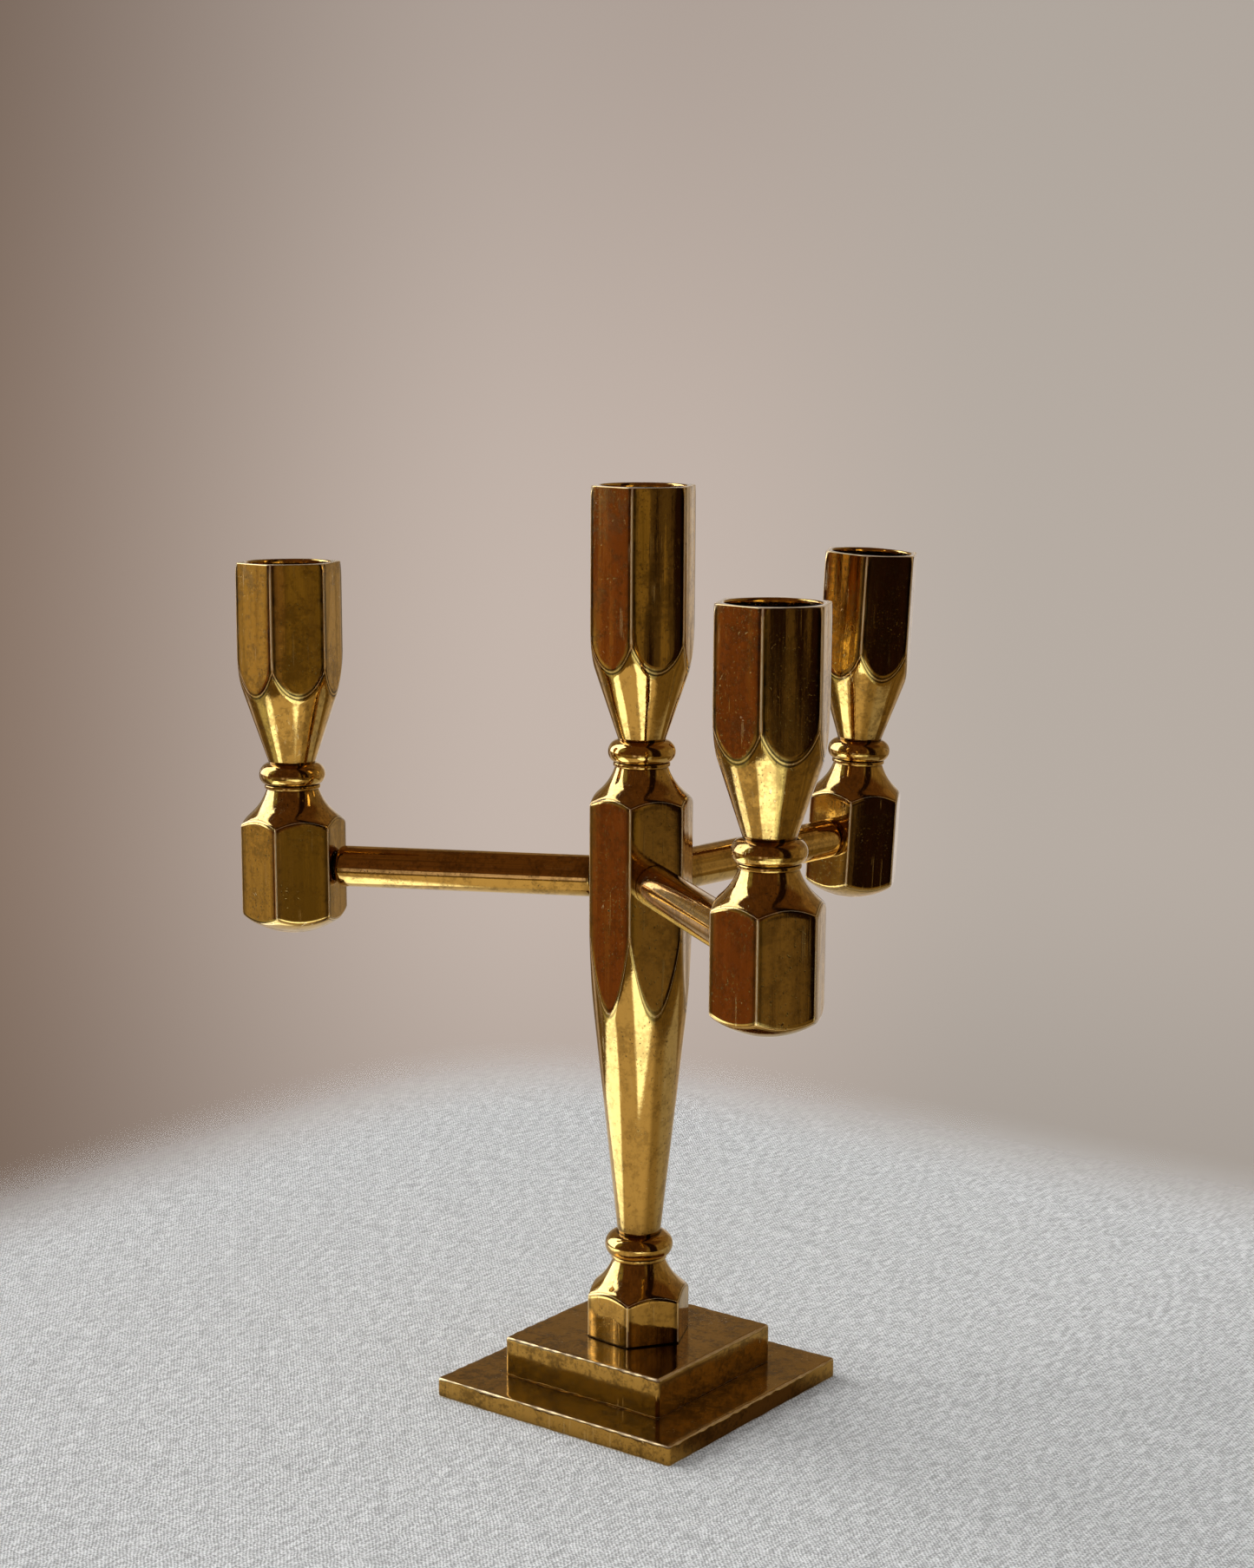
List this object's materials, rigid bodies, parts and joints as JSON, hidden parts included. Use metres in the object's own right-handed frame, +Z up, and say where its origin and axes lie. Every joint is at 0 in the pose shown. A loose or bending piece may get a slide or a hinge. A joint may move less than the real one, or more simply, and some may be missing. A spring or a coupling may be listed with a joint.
{
  "type": "tabletop candelabra",
  "caption": "Candelabra turned from hexagonal brass bar, on a stepped square base, with a centre cup and three arms that each carry a candle cup.",
  "frame": {"origin": "centre of the base's underside, on the column's axis", "axes": "+Z up along the column, X and Y along the sides of the square base; the right arm points about 35 degrees from +X towards -Y, the rear arm towards +Y and the left arm about 156 degrees from +X towards -Y"},
  "size_m": [0.1986, 0.1816, 0.2467],
  "materials": {
    "base_brass": "aged brass, worn mirror polish with tarnished edges",
    "stem_brass": "aged brass, mirror polish with soft tarnish",
    "cup_brass": "aged brass, mirror polish with soft tarnish",
    "rod_brass": "aged brass, polished drawn rod",
    "steel": "plain turned steel"
  },
  "bodies": {
    "root": {"base_plate": "base_brass", "plinth_plate": "base_brass", "base_bolt": "steel", "foot_block": "stem_brass", "foot_stud": "steel", "column": "stem_brass", "centre_cup_stud": "steel", "centre_cup": "cup_brass", "right_arm_rod": "rod_brass", "right_arm_hub_stud": "steel", "right_arm_block_stud": "steel", "right_arm_block": "stem_brass", "right_cup_stud": "steel", "right_cup": "cup_brass", "rear_arm_rod": "rod_brass", "rear_arm_hub_stud": "steel", "rear_arm_block_stud": "steel", "rear_arm_block": "stem_brass", "rear_cup_stud": "steel", "rear_cup": "cup_brass", "left_arm_rod": "rod_brass", "left_arm_hub_stud": "steel", "left_arm_block_stud": "steel", "left_arm_block": "stem_brass", "left_cup_stud": "steel", "left_cup": "cup_brass"}
  },
  "joints": []
}
